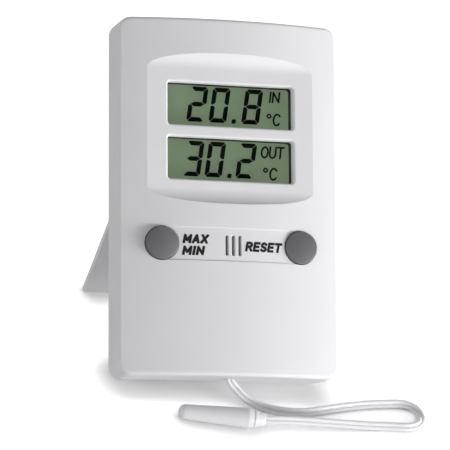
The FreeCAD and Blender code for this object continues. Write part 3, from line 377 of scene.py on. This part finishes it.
def exact_normals(mesh, curved):
    """Corner normals in the case frame, exact on curved and flat faces of a triangle mesh."""
    points = vectors_to_case(read_vectors(mesh.vertices, "co") * 1000.0) + (0.0, *LAND)
    normals = vectors_to_case(read_vectors(mesh.corner_normals, "vector"))
    facing = vectors_to_case(read_vectors(mesh.polygons, "normal"))
    starts = read_indices(mesh.polygons, "loop_start")
    corner_vertices = read_indices(mesh.loops, "vertex_index")
    triangles = corner_vertices[starts[:, None] + np.arange(3)[None, :]]
    done = np.zeros(len(triangles), bool)
    exact_at = {}             # vertex: exact normals of the faces round it

    def claim(chosen, normals_of):
        for face in np.nonzero(chosen & ~done)[0]:
            vertices = triangles[face]
            exact = normals_of(points[vertices])
            if all(np.dot(exact[k], facing[face]) < FACING_COSINE for k in (0, 1)):
                continue
            normals[starts[face]:starts[face] + 3] = exact
            done[face] = True
            for vertex, normal in zip(vertices, exact):
                exact_at.setdefault(vertex, []).append(normal)

    for test, normals_of in curved:
        claim(test(points)[triangles].all(1), normals_of)
    for axis in range(3):
        for sign in (1, -1):
            direction = np.zeros(3)
            direction[axis] = sign
            claim(facing @ direction > FLAT_COSINE, lambda rows: np.tile(direction, (3, 1)))

    # where a blend meets an exact face it takes that face's normal
    for face in np.nonzero(~done)[0]:
        for corner, vertex in enumerate(triangles[face]):
            if vertex not in exact_at:
                continue
            choices = np.array(exact_at[vertex])
            agreement = choices @ facing[face]
            best = int(np.argmax(agreement))
            if agreement[best] > BLEND_COSINE:
                normals[starts[face] + corner] = choices[best]
    return normals


def refined_cover(node, body, curved):
    """Replace a CAD node by the same surface with exact normals."""
    mesh = frame["nodes"][node].data.copy()
    obj = bpy.data.objects.new(node + "_shell", mesh)
    scene.collection.objects.link(obj)
    normals = unit_rows(vectors_to_scene(exact_normals(mesh, curved)))
    mesh.polygons.foreach_set("use_smooth", np.ones(len(mesh.polygons), bool))
    mesh.normals_split_custom_set(normals.tolist())
    mesh.update()
    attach(obj, body)
    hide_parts(node)
    dress(obj, node)


refined_cover("front_cover", "case", [
    cove(FIELD_BOTTOM, side=-1),
    cove(FIELD_TOP, side=1),
    crown(CROWN_R),
    crown(CROWN_R - CROWN_STEP),
])

# ------------------------------------------------------------------ floor
FLOOR_SIZE = 6.0
FLOOR_LIFT = 0.84             # glow that only the camera sees
PAINTED_SHADE_REACH = 0.008            # painted contact shade: the glow dims this close to what stands on the floor
PAINTED_SHADE_POWER = 2.6


def floor_pale():
    nodes = new_material("floor_pale")
    patches = nodes.noise(scale=3.0, detail=2.0)
    diffuse = nodes.add("ShaderNodeBsdfDiffuse", {
        "Color": nodes.mix(patches, (0.90, 0.90, 0.90), (0.92, 0.92, 0.92)),
    })
    light_path = nodes.add("ShaderNodeLightPath")
    # painted contact shade: ambient occlusion dims the camera-only glow near things on the floor
    openness = nodes.add("ShaderNodeAmbientOcclusion", {"Distance": PAINTED_SHADE_REACH}, samples=12)
    painted_shade_factor = nodes.calculate("POWER", openness.outputs["AO"], PAINTED_SHADE_POWER)
    lift = nodes.calculate("MULTIPLY", light_path.outputs["Is Camera Ray"], FLOOR_LIFT)
    painted_glow = nodes.add("ShaderNodeEmission", {
        "Strength": nodes.calculate("MULTIPLY", lift, painted_shade_factor),
    })
    nodes.finish(nodes.add("ShaderNodeAddShader", {0: diffuse.outputs[0], 1: painted_glow.outputs[0]}))


bpy.ops.mesh.primitive_grid_add(x_subdivisions=2, y_subdivisions=2, size=FLOOR_SIZE,
                                location=(0, 0, 0))
floor = bpy.context.object
floor.name = "floor"
floor_pale()
floor.data.materials.append(materials["floor_pale"])

# ------------------------------------------------------------------ light
SKY_BASE = 0.02
SKY = (                       # broad soft patches: direction, falloff power, strength
    ((-0.8, -0.6, 0.0), 3.0, 1.38),
    ((0.0, 1.0, 0.2), 2.0, 0.98),
    ((0.0, 0.0, 1.0), 3.0, 0.14),
    ((-1.0, 0.0, 0.0), 3.0, 0.12),
)


def studio_sky():
    world = bpy.data.worlds.new("studio")
    scene.world = world
    world.use_nodes = True
    world.cycles.sampling_method = "MANUAL"
    world.cycles.sample_map_resolution = 256
    nodes = Nodes(world.node_tree)
    view = nodes.add("ShaderNodeVectorMath", {0: nodes.coords.outputs["Generated"]},
                     operation="NORMALIZE")
    total = SKY_BASE
    for direction, power, strength in SKY:
        towards = nodes.add("ShaderNodeVectorMath", {
            0: view.outputs[0],
            1: Vector(direction).normalized(),
        }, operation="DOT_PRODUCT")
        positive = nodes.calculate("MAXIMUM", towards.outputs["Value"], 0.0)
        falloff = nodes.calculate("POWER", positive, power)
        total = nodes.calculate("MULTIPLY_ADD", falloff, strength, total)
    background = world.node_tree.nodes["Background"]
    background.inputs["Color"].default_value = (1, 1, 1, 1)
    world.node_tree.links.new(total, background.inputs["Strength"])


def softbox(name, direction, size, power, distance=0.9, target=(0, 0.0, 0.04)):
    towards = Vector(direction).normalized()
    light = bpy.data.lights.new(name, "AREA")
    light.shape = "RECTANGLE"
    light.size, light.size_y = size
    light.energy = power
    obj = bpy.data.objects.new(name, light)
    scene.collection.objects.link(obj)
    obj.location = Vector(target) + towards * distance
    obj.rotation_euler = towards.to_track_quat("Z", "Y").to_euler()


studio_sky()
softbox("key_right", direction=(0.93, -0.36, 0.09), size=(0.9, 0.16), power=7.6)
softbox("key_front_right", direction=(0.75, -0.65, 0.12), size=(0.9, 0.2), power=4.3)

# ------------------------------------------------------------------ camera
CAMERA_PLACE = (-0.26790, -0.69296, 0.56106)
CAMERA_BACK = (-0.289016, -0.775201, 0.561724)     # from the scene towards the camera
CAMERA_RIGHT = (0.956306, -0.206736, 0.206736)     # before it is squared up and rolled
CAMERA_ROLL = math.radians(-0.2965)

camera_data = bpy.data.cameras.new("camera")
camera = bpy.data.objects.new("camera", camera_data)
scene.collection.objects.link(camera)
camera_data.sensor_fit = "HORIZONTAL"
camera_data.sensor_width = 36.0
camera_data.lens = 241.73
camera_data.clip_start, camera_data.clip_end = 0.05, 20.0

back = Vector(CAMERA_BACK).normalized()
level = Vector(CAMERA_RIGHT)
level = (level - back * level.dot(back)).normalized()
right = level * math.cos(CAMERA_ROLL) + back.cross(level) * math.sin(CAMERA_ROLL)
pose = Matrix((right, back.cross(right), back)).transposed().to_4x4()
pose.translation = CAMERA_PLACE
camera.matrix_world = pose

scene.camera = camera
scene.view_settings.view_transform = "Standard"
scene.view_settings.look = "None"
scene.view_settings.exposure = 0.0
scene.cycles.transparent_max_bounces = 32
